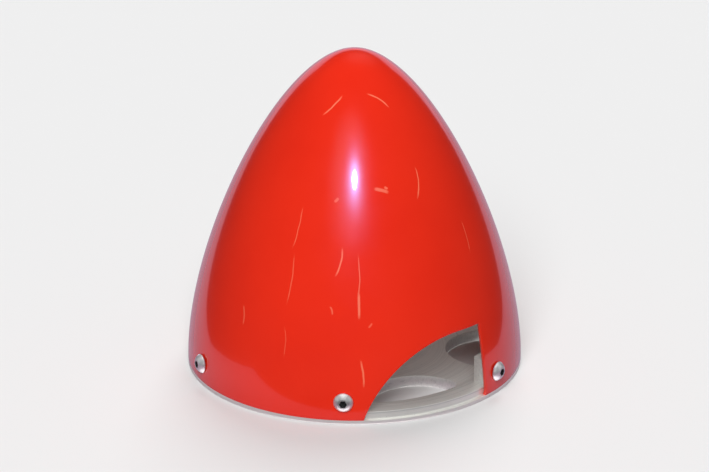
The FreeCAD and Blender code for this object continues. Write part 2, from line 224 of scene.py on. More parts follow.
class SpinnerColours(bpy.types.PropertyGroup):
    """Colours of the finishes and of the room."""

    gelcoat: colour("Gel coat", "Polished outside of the cone", (0.86, 0.027, 0.008))
    gelcoat_deep: colour("Deep gel coat", "Thicker patches of the gel coat", (0.76, 0.017, 0.005))
    streak_tone: colour("Streaks", "Fine light marks on the gel coat", (1.0, 0.25, 0.13))
    laminate: colour("Laminate", "Bare resin and glass inside the cone", (0.50, 0.10, 0.06))
    glass: colour("Glass", "Glass bundles that show through the resin", (0.62, 0.24, 0.17))
    aluminium: colour("Aluminium", "Turned and milled backplate", (0.84, 0.84, 0.80))
    aluminium_shade: colour("Aluminium shade", "Turned grooves and smudges", (0.55, 0.55, 0.53))
    aluminium_cut: colour("Aluminium cuts", "Deeper tool marks and nicks", (0.42, 0.42, 0.41))
    steel: colour("Steel", "Bright screw heads", (0.80, 0.80, 0.80))
    steel_shade: colour("Steel shade", "Duller patches of the screw heads", (0.60, 0.60, 0.61))
    # The dark thread colour is painted shade for the thread grooves and the socket recess.
    thread: colour("Thread", "Dark oxide on the threads", (0.045, 0.045, 0.048))
    thread_rubbed: colour("Rubbed thread", "Oxide that is rubbed thin", (0.20, 0.20, 0.21))
    floor: colour("Floor", "Studio floor", (0.80, 0.80, 0.80))
    floor_shade: colour("Floor shade", "Faint patches of the floor", (0.78, 0.78, 0.78))
    floor_bounce: colour("Floor bounce", "Floor, as it lights the object", (0.32, 0.32, 0.32))
    backdrop: colour("Backdrop", "Wall behind the object", (0.863, 0.863, 0.863))
    sheen: colour("Sheen", "White sheet and backdrop, as the gloss shows them", (0.58, 0.44, 0.56))
    room: colour("Room", "Dark room, as the gloss shows it", (0.02, 0.02, 0.022))


class StageSettings(bpy.types.PropertyGroup):
    """Camera and light."""

    azimuth: angle("Azimuth", "Camera's turn round the object from straight behind -Y", -26.35)
    elevation: angle("Elevation", "Camera's angle above the floor", 20.8)
    distance: length("Distance", "Camera to its aim", 0.8)
    aim_height: length("Aim height", "Aim above the floor, on the shaft axis", 0.0385)
    lens: bpy.props.FloatProperty(
        name="Lens", description="Focal length in millimetres", default=137.0,
        subtype="DISTANCE_CAMERA",
    )
    ambient: share("Ambient", "Even light from all around", 0.11)
    key_light: share("Key light", "Soft key from the front", 0.97)
    fill_light: share("Fill light", "Soft fill from behind", 0.42)
    sun_width: angle("Sun width", "How wide the key and the fill are, for soft shadows", 34.0)
    spark_power: power("Spark power", "Small bright lamp that only the gloss shows", 4.8)
    metal_power: power("Metal power", "Each soft lamp that only the metal shows", 9.0)


class Number:
    """A number that varies over a surface. Arithmetic on it adds Math nodes."""

    def __init__(self, shader, socket):
        self.shader = shader
        self.socket = socket

    def math(self, operation, *operands):
        inputs = dict(enumerate(operands))
        return self.shader.number("ShaderNodeMath", {"operation": operation}, inputs)

    def __add__(self, other):
        return self.math("ADD", self, other)

    def __radd__(self, other):
        return self.math("ADD", other, self)

    def __sub__(self, other):
        return self.math("SUBTRACT", self, other)

    def __rsub__(self, other):
        return self.math("SUBTRACT", other, self)

    def __mul__(self, other):
        return self.math("MULTIPLY", self, other)

    def __rmul__(self, other):
        return self.math("MULTIPLY", other, self)

    def __abs__(self):
        return self.math("ABSOLUTE", self)

    def wave(self):
        return self.math("SINE", self)

    def root(self):
        return self.math("SQRT", self)

    def most(self, other):
        return self.math("MAXIMUM", self, other)

    def turn_over(self, other):
        """The turn round the axis, from y over x."""
        return self.math("ARCTAN2", self, other)

    def fade(self, start, end, low=0.0, high=1.0):
        """A smooth step from low at start to high at end."""
        return self.shader.number(
            "ShaderNodeMapRange", {"interpolation_type": "SMOOTHSTEP"},
            {"Value": self, "From Min": start, "From Max": end, "To Min": low, "To Max": high},
        )


class Shader:
    """The node tree of a material or a world, filled from the code."""

    def __init__(self, owner):
        owner.use_nodes = True
        self.tree = owner.node_tree
        self.tree.nodes.clear()

    def node(self, kind, settings=None, inputs=None):
        """Add a node: its settings first, then a value or a link for each named socket."""
        made = self.tree.nodes.new(kind)
        for name, setting in (settings or {}).items():
            setattr(made, name, setting)
        for name, value in (inputs or {}).items():
            target = self.find(made.inputs, name)
            source = value.socket if isinstance(value, Number) else value
            if isinstance(source, bpy.types.NodeSocket):
                self.tree.links.new(source, target)
            elif target.type == "RGBA":
                target.default_value = (*source, 1.0)
            else:
                target.default_value = source
        return made

    def find(self, sockets, name):
        """A socket by its place in the list, its identifier or its name."""
        if isinstance(name, int):
            return sockets[name]
        return next(socket for socket in sockets if name in (socket.identifier, socket.name))

    def number(self, kind, settings=None, inputs=None, output=0):
        """Add a node and take one of its outputs as a number."""
        made = self.node(kind, settings, inputs)
        return Number(self, self.find(made.outputs, output))

    def measure(self, operation, first, second):
        """A number worked out from two vectors."""
        inputs = {0: first, 1: second}
        return self.number("ShaderNodeVectorMath", {"operation": operation}, inputs, "Value")

    def mix(self, part, first, second):
        """Go from one colour to another by a part between 0 and 1."""
        made = self.node(
            "ShaderNodeMix", {"data_type": "RGBA"},
            {"Factor_Float": part, "A_Color": first, "B_Color": second},
        )
        return self.find(made.outputs, "Result_Color")

    def place(self):
        """The object's own coordinates."""
        return self.node("ShaderNodeTexCoord").outputs["Object"]

    def split(self, vector):
        """The three numbers of a vector."""
        parts = self.node("ShaderNodeSeparateXYZ", inputs={"Vector": vector})
        return [Number(self, socket) for socket in parts.outputs]

    def join(self, x, y, z):
        """A vector of three numbers."""
        return self.node("ShaderNodeCombineXYZ", inputs={"X": x, "Y": y, "Z": z}).outputs[0]

    def ray(self, kind):
        """1 for a ray of a kind, such as Camera, and 0 for others."""
        return self.number("ShaderNodeLightPath", output=f"Is {kind} Ray")

    def noise(self, vector, scale, detail=2.0, rough=0.5):
        """Smooth noise between 0 and 1."""
        return self.number("ShaderNodeTexNoise", inputs={
            "Vector": vector, "Scale": scale, "Detail": detail, "Roughness": rough,
        })

    def bump(self, height, distance, strength, below=None):
        """Bend the normal by a height that varies over the surface."""
        inputs = {"Height": height, "Distance": distance, "Strength": strength}
        if below:
            inputs["Normal"] = below
        return self.node("ShaderNodeBump", inputs=inputs).outputs["Normal"]

    def surface(self, **inputs):
        """End the tree in one Principled surface."""
        names = {
            name.replace("_", " ").title().replace("Ior", "IOR"): value
            for name, value in inputs.items()
        }
        made = self.node("ShaderNodeBsdfPrincipled", inputs=names)
        self.node("ShaderNodeOutputMaterial", inputs={"Surface": made.outputs[0]})


def new_material(name):
    """An empty material and its shader."""
    material = bpy.data.materials.new(name)
    return material, Shader(material)


def find_light_streaks(shader, place, profile):
    """Where the fine marks lie on the cone. Each wavers a little and is tapered at its ends."""
    wobble = (shader.noise(place, scale=140.0) - 0.5) * (1.1 * MM)
    streaked = None
    for degrees, height, run, width, tilt, bend, strength in LIGHT_STREAKS:
        height, run, width, bend = height * MM, run * MM, width * MM, bend * MM
        turn, swing = math.radians(degrees), math.radians(tilt)
        lean = profile.lean(height)
        outward = Vector((math.cos(turn), math.sin(turn), 0.0))
        sideways = Vector((-math.sin(turn), math.cos(turn), 0.0))
        upward = Vector((0.0, 0.0, math.cos(lean))) - outward * math.sin(lean)
        centre = outward * profile.radius(height) + Vector((0.0, 0.0, cone_low.z + height))
        line = upward * math.cos(swing) + sideways * math.sin(swing)
        across = sideways * math.cos(swing) - upward * math.sin(swing)
        beyond = shader.measure("DOT_PRODUCT", place, line) - centre.dot(line)
        beside = shader.measure("DOT_PRODUCT", place, across) - centre.dot(across)
        beside = abs(beside + beyond * beyond * (4.0 * bend / run ** 2) + wobble)
        away = shader.measure("DISTANCE", place, centre)
        mark = beside.fade(0.2 * width, 0.6 * width, low=strength, high=0.0)
        mark = mark * away.fade(0.25 * run, 0.5 * run, low=1.0, high=0.0)
        streaked = mark if streaked is None else streaked.most(mark)
    return streaked


def make_gelcoat(colours, profile):
    """Polished red gel coat: faint depth and waviness, and fine light marks."""
    material, shader = new_material("red_gelcoat")
    place = shader.place()
    depth = shader.noise(place, scale=38.0, detail=3.0, rough=0.55)
    tone = shader.mix(depth.fade(0.35, 0.75, high=0.35), colours.gelcoat, colours.gelcoat_deep)
    # Lighter streaks go into the colour, and raise the roughness and thin the coat where they lie.
    light_streaks = find_light_streaks(shader, place, profile)
    tone = shader.mix(light_streaks, tone, colours.streak_tone)
    waves = shader.noise(place, scale=26.0, detail=1.0)
    peel = shader.noise(place, scale=420.0, detail=1.0)
    normal = shader.bump(waves, 0.9 * MM, strength=0.25)
    normal = shader.bump(peel, 0.01 * MM, strength=0.3, below=normal)
    grain = shader.noise(place, scale=160.0, detail=4.0)
    shader.surface(
        base_color=tone,
        roughness=grain.fade(0.3, 0.8, low=0.205, high=0.25) + light_streaks * 0.3,
        coat_weight=1.0 - light_streaks * 0.5,
        coat_roughness=0.03,
        coat_ior=1.5,
        normal=normal,
    )
    return material


def make_laminate(colours):
    """The inside of the moulding: woven glass under uneven resin."""
    material, shader = new_material("bare_laminate")
    place = shader.place()
    x, y, z = shader.split(place)
    warp = (y.turn_over(x) * 130.0).wave()
    weft = (z * 2900.0).wave()
    weave = warp * weft * 0.5 + 0.5
    pool = shader.noise(place, scale=55.0, detail=4.0, rough=0.6)
    bare = (weave * 0.35 + pool * 0.5).fade(0.25, 0.8)
    normal = shader.bump(weave, 0.08 * MM, strength=0.6)
    normal = shader.bump(pool, 0.6 * MM, strength=0.4, below=normal)
    shader.surface(
        base_color=shader.mix(bare, colours.laminate, colours.glass),
        roughness=pool.fade(0.3, 0.7, low=0.38, high=0.62),
        normal=normal,
    )
    return material


def make_aluminium(colours):
    """Turned aluminium: rings round the shaft axis, deeper tool marks, faint smudges and nicks."""
    material, shader = new_material("machined_aluminium")
    place = shader.place()
    x, y, z = shader.split(place)
    radius = (x * x + y * y).root()
    turn = y.turn_over(x)
    close = shader.join(radius * 5200.0, z * 3000.0, turn * 0.6)
    wide = shader.join(radius * 1500.0, z * 1100.0, turn * 0.25)
    fine = shader.noise(close, scale=1.0, rough=0.6)
    rings = shader.noise(wide, scale=1.0, detail=3.0, rough=0.65)
    cuts = rings.fade(0.60, 0.68)
    smudge = shader.noise(place, scale=42.0, detail=4.0, rough=0.6)
    nicks = shader.noise(place, scale=900.0, detail=1.0).fade(0.74, 0.80)
    shade = (rings * 0.6 + fine * 0.3 + smudge * 0.4).fade(0.42, 0.88, high=0.55)
    tone = shader.mix(shade, colours.aluminium, colours.aluminium_shade)
    tone = shader.mix(cuts * 0.3 + nicks * 0.5, tone, colours.aluminium_cut)
    normal = shader.bump(rings, 0.06 * MM, strength=0.4)
    normal = shader.bump(fine, 0.02 * MM, strength=0.5, below=normal)
    normal = shader.bump(1.0 - nicks, 0.04 * MM, strength=0.5, below=normal)
    shader.surface(
        base_color=tone,
        metallic=0.75,
        roughness=(rings * 0.5 + smudge * 0.5).fade(0.3, 0.75, low=0.36, high=0.52),
        anisotropic=0.5,
        normal=normal,
    )
    return material


def make_steel(colours):
    """Bright steel of the screw heads, with duller patches and a fine grain."""
    material, shader = new_material("bright_steel")
    place = shader.place()
    fine = shader.noise(place, scale=2600.0, detail=3.0, rough=0.65)
    cloud = shader.noise(place, scale=700.0).fade(0.35, 0.7, high=0.35)
    shader.surface(
        base_color=shader.mix(cloud, colours.steel, colours.steel_shade),
        metallic=1.0,
        roughness=fine.fade(0.3, 0.7, low=0.36, high=0.48),
        normal=shader.bump(fine, 0.01 * MM, strength=0.5),
    )
    return material


def make_thread_and_socket_shade(colours):
    """Painted shade on the threads and in the socket recess, as dark oxide rubbed lighter in
    places.
    """
    material, shader = new_material("dark_thread")
    rub = shader.noise(shader.place(), scale=1500.0, detail=4.0, rough=0.6)
    shader.surface(
        base_color=shader.mix(rub.fade(0.5, 0.75, high=0.6), colours.thread, colours.thread_rubbed),
        metallic=0.8,
        roughness=rub.fade(0.3, 0.7, low=0.55, high=0.35),
        normal=shader.bump(rub, 0.01 * MM, strength=0.5),
    )
    return material


def last_share(test):
    """The share between 0 and 1 up to which a test holds, found by halving."""
    low, high = 0.0, 1.0
    for _ in range(HALVINGS):
        middle = (low + high) / 2
        if test(middle):
            low = middle
        else:
            high = middle
    return (low + high) / 2


class Profile:
    """The cone's outside in section: a smooth curve, upright at the rim and level at the nose."""

    def __init__(self, sizes):
        self.poles = [
            Vector((sizes.radius, 0.0)),
            Vector((sizes.radius, sizes.flank_handle)),
            Vector((sizes.nose_handle, sizes.height)),
            Vector((0.0, sizes.height)),
        ]

    def at(self, share):
        """Radius and height over the rim at a share of the curve."""
        points = self.poles
        while len(points) > 1:
            points = [first.lerp(second, share) for first, second in zip(points, points[1:])]
        return points[0]

    def share(self, height):
        """The share of the curve at a height over the rim."""
        return last_share(lambda share: self.at(share).y < height)

    def radius(self, height):
        """The outside radius at a height over the rim."""
        return self.at(self.share(height)).x if height > 0 else self.poles[0].x

    def lean(self, height):
        """How far the outside's normal leans up at a height over the rim."""
        nudge = 0.0005
        share = min(max(self.share(height), nudge), 1.0 - nudge)
        step = self.at(share + nudge) - self.at(share - nudge)
        return math.atan2(-step.x, step.y)

    def normal(self, place):
        """The outside's normal at a place on it."""
        level = Vector((place.x, place.y, 0.0))
        if level.length < MERGE:
            return Vector((0.0, 0.0, 1.0))
        lean = self.lean(place.z)
        return level.normalized() * math.cos(lean) + Vector((0.0, 0.0, math.sin(lean)))


class Notch:
    """A blade notch's outline, in the plane of x and the height over the rim."""

    def __init__(self, sizes):
        self.half_width = sizes.notch_half_width
        self.height = sizes.notch_height
        self.arc = sizes.notch_arc
        drop = self.arc - self.height
        reach = math.sqrt(self.arc ** 2 - drop ** 2)
        self.centre = Vector((reach - self.half_width, -drop))
        self.corner = Vector((self.half_width - sizes.notch_lean, self.height))
        self.feet = [Vector((-self.half_width, 0.0)), Vector((self.half_width, 0.0))]
        self.side = (self.corner - self.feet[1]).normalized()
        self.outwards = Vector((self.side.y, -self.side.x))

    def depth(self, point):
        """How far inside the notch a point is, negative outside it."""
        beside = -(point - self.feet[1]).dot(self.outwards)
        if point.x < self.centre.x:
            under = self.arc - (point - self.centre).length
        else:
            under = self.height - point.y
        return min(beside, under)

    def nearest(self, point):
        """The closest point of the outline."""
        end = (self.corner - self.feet[1]).length
        run = min(max((point - self.feet[1]).dot(self.side), 0.0), end)
        found = [self.feet[1] + self.side * run]
        if point.x < self.centre.x:
            found.append(self.centre + (point - self.centre).normalized() * self.arc)
        else:
            found.append(Vector((min(point.x, self.corner.x), self.height)))
        return min(found, key=lambda spot: (spot - point).length)

    def crossing(self, first, second):
        """The share of the way from one point to another at which the outline is crossed."""
        inside = self.depth(first) > 0
        return last_share(lambda share: (self.depth(first.lerp(second, share)) > 0) == inside)


def plan(place):
    """A place seen along the blade: x and the height over the rim."""
    return Vector((place.x, place.z))


def on_wall(profile, spot):
    """The point of the cone's outside that shows at a spot, seen along the blade from -Y."""
    radius = profile.radius(spot.y)
    return Vector((spot.x, -math.sqrt(radius ** 2 - spot.x ** 2), spot.y))


def pick(made, kind):
    """The vertices, edges or faces of what an operator made."""
    return [item for item in made if isinstance(item, kind)]


def around(verts, links):
    """The edges or faces at some vertices, each once and in a fixed order."""
    return list(dict.fromkeys(item for vert in verts for item in getattr(vert, links)))


def spin_line(mesh, points, **turning):
    """Join points to a line and spin it to a surface around a line through the origin."""
    verts = [mesh.verts.new(point) for point in points]
    edges = [mesh.edges.new(pair) for pair in zip(verts, verts[1:])]
    bmesh.ops.spin(mesh, geom=verts + edges, cent=(0, 0, 0), use_duplicate=False, **turning)


def round_edges(mesh, width, clamp_overlap):
    """Round the sharp edges of a closed mesh."""
    sharp = [
        edge for edge in mesh.edges
        if len(edge.link_faces) == 2 and edge.calc_face_angle() > SHARP
    ]
    bmesh.ops.bevel(
        mesh, geom=sharp, offset=width, offset_type="OFFSET", segments=2, profile=0.5,
        affect="EDGES", clamp_overlap=clamp_overlap, material=-1,
    )


def finish_mesh(mesh, name, materials):
    """Turn a bmesh into an object at the origin, smooth except at its sharper edges."""
    data = bpy.data.meshes.new(name)
    mesh.to_mesh(data)
    mesh.free()
    for material in materials:
        data.materials.append(material)
    piece = bpy.data.objects.new(name, data)
    bpy.context.scene.collection.objects.link(piece)
    data.shade_smooth()
    data.set_sharp_from_angle(angle=SMOOTH)
    return piece


def spin_half_cone(mesh, profile, sizes):
    """Half of the cone's outside as one even sheet, with level rows around the screw holes."""
    rise = sizes.hole_rise / HOLE_CELLS
    shares = [0.0] + [profile.share(rise * step) for step in range(1, 2 * HOLE_CELLS + 1)]
    start = shares[-1]
    shares += [start + (1.0 - start) * step / NOSE_ROWS for step in range(1, NOSE_ROWS + 1)]
    turn = Matrix.Rotation(math.radians(HALF_START), 4, "Z")
    spots = [profile.at(share) for share in shares]
    spin_line(
        mesh, [turn @ Vector((spot.x, 0.0, spot.y)) for spot in spots], axis=(0, 0, 1),
        dvec=(0, 0, 0), angle=math.pi, steps=COLUMNS // 2, use_merge=False,
    )
    bmesh.ops.remove_doubles(mesh, verts=mesh.verts, dist=MERGE)


def land_on_outline(notch, near, depth):
    """Which vertices go onto the notch's outline, where to, and which of them are its corners."""
    rim = [vert for vert in near if vert.co.z < MERGE]

    def closest(verts, spot):
        return min(verts, key=lambda vert: (plan(vert.co) - spot).length)

    landing = {closest(rim, foot): foot for foot in notch.feet}
    landing[closest(near, notch.corner)] = notch.corner
    corners = set(landing)
    moved = {}
    for edge in around(near, "link_edges"):
        first, second = edge.verts
        if first not in depth or second not in depth or first in corners or second in corners:
            continue
        if depth[first] * depth[second] >= 0:
            continue
        share = notch.crossing(plan(first.co), plan(second.co))
        vert, move = (first, share) if share < 0.5 else (second, 1.0 - share)
        if vert.co.z < MERGE:
            vert = edge.other_vert(vert)
        if vert not in moved or move < moved[vert]:
            landing[vert] = plan(first.co).lerp(plan(second.co), share)
            moved[vert] = move
    return landing, corners


def cut_notch(mesh, profile, notch):
    """Open the notch in the sheet, along vertices that are brought onto its outline."""
    margin = 3.0 * MM
    near = [
        vert for vert in mesh.verts
        if vert.co.y < 0 and vert.co.z < notch.height + margin
        and abs(vert.co.x) < notch.half_width + margin
    ]
    depth = {vert: notch.depth(plan(vert.co)) for vert in near}
    landing, corners = land_on_outline(notch, near, depth)
    for vert, spot in landing.items():
        vert.co = on_wall(profile, spot)

    def loose_depths(face):
        return [depth[vert] for vert in face.verts if vert in depth and vert not in landing]

    for face in around(landing, "link_faces"):
        ends = [vert for vert in face.verts if vert in landing]
        if len(ends) == 2 and min(loose_depths(face)) < 0 < max(loose_depths(face)):
            bmesh.utils.face_split(face, *ends)
    inside = []
    for face in around(near, "link_faces"):
        centre = face.calc_center_median()
        loose = loose_depths(face) or [notch.depth(plan(centre))]
        if centre.y < 0 < max(loose):
            inside.append(face)
    bmesh.ops.delete(mesh, geom=inside, context="FACES")
    return [vert for vert in landing if vert.is_valid], corners


def relax_notch(mesh, profile, notch, outline, corners):
    """Space the outline's vertices evenly and ease the sheet around them, on the cone's outside."""
    sliding = [vert for vert in outline if vert not in corners]
    for _ in range(SPACINGS):
        for vert in sliding:
            ends = [edge.other_vert(vert) for edge in vert.link_edges if edge.is_boundary]
            middle = (plan(ends[0].co) + plan(ends[1].co)) / 2
            vert.co = on_wall(profile, notch.nearest(middle))
    reach = 2.4 * MM
    held = set(outline)
    eased = [
        vert for vert in mesh.verts
        if vert not in held and vert.co.y < 0 and not vert.is_boundary
        and notch.depth(plan(vert.co)) > -reach and vert.co.z < notch.height + reach
    ]
    for _ in range(EASINGS):
        bmesh.ops.smooth_vert(
            mesh, verts=eased, factor=0.5, use_axis_x=True, use_axis_y=True, use_axis_z=True,
        )
        for vert in eased:
            vert.co = on_wall(profile, plan(vert.co))


def cut_hole(mesh, profile, sizes, degrees):
    """Open a round screw hole in the sheet, with an even ring of faces around it."""
    turn = Matrix.Rotation(math.radians(degrees), 4, "Z")
    back = turn.inverted()
    half_turn = math.pi * HOLE_CELLS / COLUMNS
    half_rise = sizes.hole_rise / 2
    patch = []
    for face in mesh.faces:
        centre = back @ face.calc_center_median()
        level = abs(centre.z - sizes.hole_rise) < half_rise
        if centre.x > 0 and level and abs(math.atan2(centre.y, centre.x)) < half_turn:
            patch.append(face)
    border = [
        edge for edge in dict.fromkeys(edge for face in patch for edge in face.edges)
        if sum(face in patch for face in edge.link_faces) == 1
    ]
    bmesh.ops.delete(mesh, geom=patch, context="FACES")
    ring = pick(bmesh.ops.extrude_edge_only(mesh, edges=border)["geom"], BMVert)
    step = 2 * math.pi / len(ring)

    def bearing(vert):
        spot = back @ vert.co
        return (math.atan2(spot.z - sizes.hole_rise, spot.y) + step / 2) % (2 * math.pi)

    for order, vert in enumerate(sorted(ring, key=bearing)):
        aside = sizes.hole_radius * math.cos(order * step)
        height = sizes.hole_rise + sizes.hole_radius * math.sin(order * step)
        out = math.sqrt(profile.radius(height) ** 2 - aside ** 2)
        vert.co = turn @ Vector((out, aside, height))


def thicken_cone(mesh, profile, sizes, notch):
    """Give the sheet its wall, cut straight along the blades at the notches. Returns its inside."""
    made = bmesh.ops.extrude_face_region(mesh, geom=mesh.faces[:], use_keep_orig=True)["geom"]
    inside = pick(made, BMVert)
    known = set(inside)
    for vert in inside:
        place = vert.co.copy()
        vert.co = place - profile.normal(place) * sizes.wall
        on_edge = any(edge.other_vert(vert) not in known for edge in vert.link_edges)
        spot = Vector((place.x if place.y < 0 else -place.x, place.z))
        if on_edge and place.z > MERGE and abs(notch.depth(spot)) < ON_OUTLINE:
            radius = profile.radius(place.z) - sizes.wall / math.cos(profile.lean(place.z))
            deep = math.sqrt(radius ** 2 - place.x ** 2)
            vert.co = (place.x, math.copysign(deep, place.y), place.z)
    bmesh.ops.recalc_face_normals(mesh, faces=mesh.faces)
    return known


def build_cone(sizes, colours):
    """The moulded cone, with its two blade notches and six screw holes."""
    profile = Profile(sizes)
    notch = Notch(sizes)
    mesh = bmesh.new()
    spin_half_cone(mesh, profile, sizes)
    outline, corners = cut_notch(mesh, profile, notch)
    for degrees in HOLE_TURNS:
        cut_hole(mesh, profile, sizes, degrees)
    relax_notch(mesh, profile, notch, outline, corners)
    half = mesh.verts[:] + mesh.edges[:] + mesh.faces[:]
    other = pick(bmesh.ops.duplicate(mesh, geom=half)["geom"], BMVert)
    bmesh.ops.rotate(mesh, cent=(0, 0, 0), matrix=Matrix.Rotation(math.pi, 3, "Z"), verts=other)
    bmesh.ops.remove_doubles(mesh, verts=mesh.verts, dist=MERGE)
    bmesh.ops.recalc_face_normals(mesh, faces=mesh.faces)
    inside = thicken_cone(mesh, profile, sizes, notch)
    for face in mesh.faces:
        bare = sum(vert in inside for vert in face.verts) > len(face.verts) / 2
        face.material_index = int(bare)
    round_edges(mesh, sizes.edge, clamp_overlap=True)
    bmesh.ops.translate(mesh, vec=(0, 0, cone_low.z), verts=mesh.verts)
    materials = [make_gelcoat(colours, profile), make_laminate(colours)]
    return finish_mesh(mesh, "spinner_cone", materials)


def build_backplate(sizes, colours):
    """The turned and milled plate, with its sharp edges broken."""
    mesh = bmesh.new()
    mesh.from_mesh(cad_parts["backplate"].data)
    bmesh.ops.remove_doubles(mesh, verts=mesh.verts, dist=MERGE)
    bmesh.ops.dissolve_limit(mesh, angle_limit=FLAT, verts=mesh.verts, edges=mesh.edges)
    round_edges(mesh, sizes.edge, clamp_overlap=False)
    return finish_mesh(mesh, "spinner_backplate", [make_aluminium(colours)])


def arc_points(start, end, radius, steps):
    """Points of the arc of a radius from one point to another, turning left."""
    chord = end - start
    leftward = Vector((-chord.y, chord.x)).normalized()
    centre = (start + end) / 2 + leftward * math.sqrt(radius ** 2 - chord.length_squared / 4)
    first = math.atan2(start.y - centre.y, start.x - centre.x)
    last = math.atan2(end.y - centre.y, end.x - centre.x)
    turns = [first + (last - first) * step / steps for step in range(steps + 1)]
    return [centre + Vector((math.cos(turn), math.sin(turn))) * radius for turn in turns]


def screw_section(sizes):
    """The head and the neck in section, from the crown down: x along the screw, and the radius."""
    crown = Vector((sizes.head_height, sizes.crown_radius))
    foot = Vector((sizes.head_rim, sizes.head_radius))
    root = sizes.thread_radius - sizes.thread_depth
    middle = 0.3  # how far along each leg a rounding's middle point lies
    edge, fillet = sizes.head_edge, sizes.fillet
    return arc_points(crown, foot, sizes.dome, DOME_ROWS) + [
        Vector((edge, sizes.head_radius)),
        Vector((edge * middle, sizes.head_radius - edge * middle)),
        Vector((0.0, sizes.head_radius - edge)),
        Vector((0.0, root + fillet)),
        Vector((-fillet * middle, root + fillet * middle)),
        Vector((-fillet, root)),
        Vector((-sizes.neck, root)),
    ]


def cut_socket(mesh, sizes):
    """Close the crown down to a hexagon, and sink the socket with its drill point."""
    ring = [edge for edge in mesh.edges if edge.is_boundary and edge.verts[0].co.x > 0]
    crown = bmesh.ops.extrude_edge_only(mesh, edges=ring)["geom"]
    for vert in pick(crown, BMVert):
        turn = math.atan2(vert.co.z, vert.co.y) % (math.pi / 3) - math.pi / 6
        inwards = sizes.socket_width / 2 / math.cos(turn) / math.hypot(vert.co.y, vert.co.z)
        vert.co.y *= inwards
        vert.co.z *= inwards
    mouth = [edge for edge in pick(crown, BMEdge) if edge.is_boundary]
    walls = bmesh.ops.extrude_edge_only(mesh, edges=mouth)["geom"]
    bmesh.ops.translate(mesh, vec=(-sizes.socket_depth, 0, 0), verts=pick(walls, BMVert))
    bottom = [edge for edge in pick(walls, BMEdge) if edge.is_boundary]
    point = bmesh.ops.extrude_edge_only(mesh, edges=bottom)["geom"]
    tip = (sizes.head_height - sizes.socket_depth - sizes.drill_point, 0, 0)
    bmesh.ops.pointmerge(mesh, verts=pick(point, BMVert), merge_co=tip)


def add_thread(mesh, sizes):
    """A helical thread from the neck to the end of the shank, with a chamfered tip."""
    root = sizes.thread_radius - sizes.thread_depth
    pitch = sizes.pitch
    flank = pitch * 5 / 16
    crest = pitch / 8
    base = pitch - crest - 2 * flank
    start = 0.1 * MM
    turns = math.ceil((sizes.shank + start) / pitch) + 1
    spots = [
        (0.0, root), (-base, root), (-base - flank, sizes.thread_radius),
        (-base - flank - crest, sizes.thread_radius), (-pitch, root),
    ]
    head = set(mesh.verts)
    spin_line(
        mesh, [(start + x, radius, 0.0) for x, radius in spots], axis=(1, 0, 0),
        dvec=(-pitch / THREAD_STEPS, 0, 0), angle=2 * math.pi * turns,
        steps=THREAD_STEPS * turns, use_merge=False,
    )
    helix = [vert for vert in mesh.verts if vert not in head]
    bmesh.ops.remove_doubles(mesh, verts=helix, dist=10 * MERGE)
    helix = [vert for vert in mesh.verts if vert not in head]
    geometry = helix + around(helix, "link_edges") + around(helix, "link_faces")
    top = bmesh.ops.bisect_plane(
        mesh, geom=geometry, dist=MERGE, plane_co=(-sizes.thread_start, 0, 0), plane_no=(1, 0, 0),
        clear_outer=True,
    )
    geometry = [item for item in top["geom"] if item.is_valid]
    end = bmesh.ops.bisect_plane(
        mesh, geom=geometry, dist=MERGE, plane_co=(-sizes.shank, 0, 0), plane_no=(-1, 0, 0),
        clear_outer=True,
    )
    for vert in {vert for face in pick(end["geom"], BMFace) for vert in face.verts}:
        limit = sizes.thread_radius - sizes.chamfer + vert.co.x + sizes.shank
        radius = math.hypot(vert.co.y, vert.co.z)
        if radius > limit:
            vert.co.y *= limit / radius
            vert.co.z *= limit / radius
    # In order of their angle, the corners of the flat end are the same in each run.
    rim = {vert for edge in pick(end["geom_cut"], BMEdge) for vert in edge.verts}
    mesh.faces.new(sorted(rim, key=lambda vert: math.atan2(vert.co.z, vert.co.y)))
    neck = [
        edge for edge in mesh.edges
        if edge.is_boundary and all(abs(vert.co.x + sizes.neck) < MERGE for vert in edge.verts)
    ]
    bmesh.ops.bridge_loops(mesh, edges=neck + pick(top["geom_cut"], BMEdge))


def build_screw_mesh(sizes):
    """One button-head screw along +X, its seat at the origin."""
    mesh = bmesh.new()
    spin_line(
        mesh, [(spot.x, spot.y, 0.0) for spot in screw_section(sizes)], axis=(1, 0, 0),
        dvec=(0, 0, 0), angle=2 * math.pi, steps=HEAD_SIDES, use_merge=True,
    )
    bmesh.ops.remove_doubles(mesh, verts=mesh.verts, dist=MERGE)
    cut_socket(mesh, sizes)
    add_thread(mesh, sizes)
    bmesh.ops.remove_doubles(mesh, verts=mesh.verts, dist=MERGE)
    bmesh.ops.recalc_face_normals(mesh, faces=mesh.faces)
    socket_radius = sizes.socket_width / math.sqrt(3)
    # The socket and the threaded shank take the dark material: painted shade for the recess and the
    # grooves.
    for face in mesh.faces:
        centre = face.calc_center_median()
        in_socket = centre.x > 0 and math.hypot(centre.y, centre.z) < socket_radius
        on_shank = centre.x < -0.01 * MM
        face.material_index = int(in_socket or on_shank)
    return mesh


def direction(azimuth, elevation):
    """Unit vector towards a turn from straight behind -Y and an angle above the floor."""
    level = math.cos(elevation)
    across, along = math.sin(azimuth) * level, math.cos(azimuth) * level
    return Vector((across, -along, math.sin(elevation)))


def link_aimed(data, back, place):
    """Link a lamp or a camera at a place, looking against a direction."""
    holder = bpy.data.objects.new(data.name, data)
    holder.location = place
    holder.rotation_euler = back.to_track_quat("Z", "Y").to_euler()
    bpy.context.scene.collection.objects.link(holder)
    return holder


def aim_lamp(name, size, power, azimuth, elevation, distance, aim, tint=(1.0, 1.0, 1.0)):
    """A round lamp that looks at the object from a direction."""
    data = bpy.data.lights.new(name, "AREA")
    data.shape = "DISK"
    data.size = size
    data.energy = power
    data.color = tint
    back = direction(azimuth, elevation)
    return link_aimed(data, back, aim + back * distance)


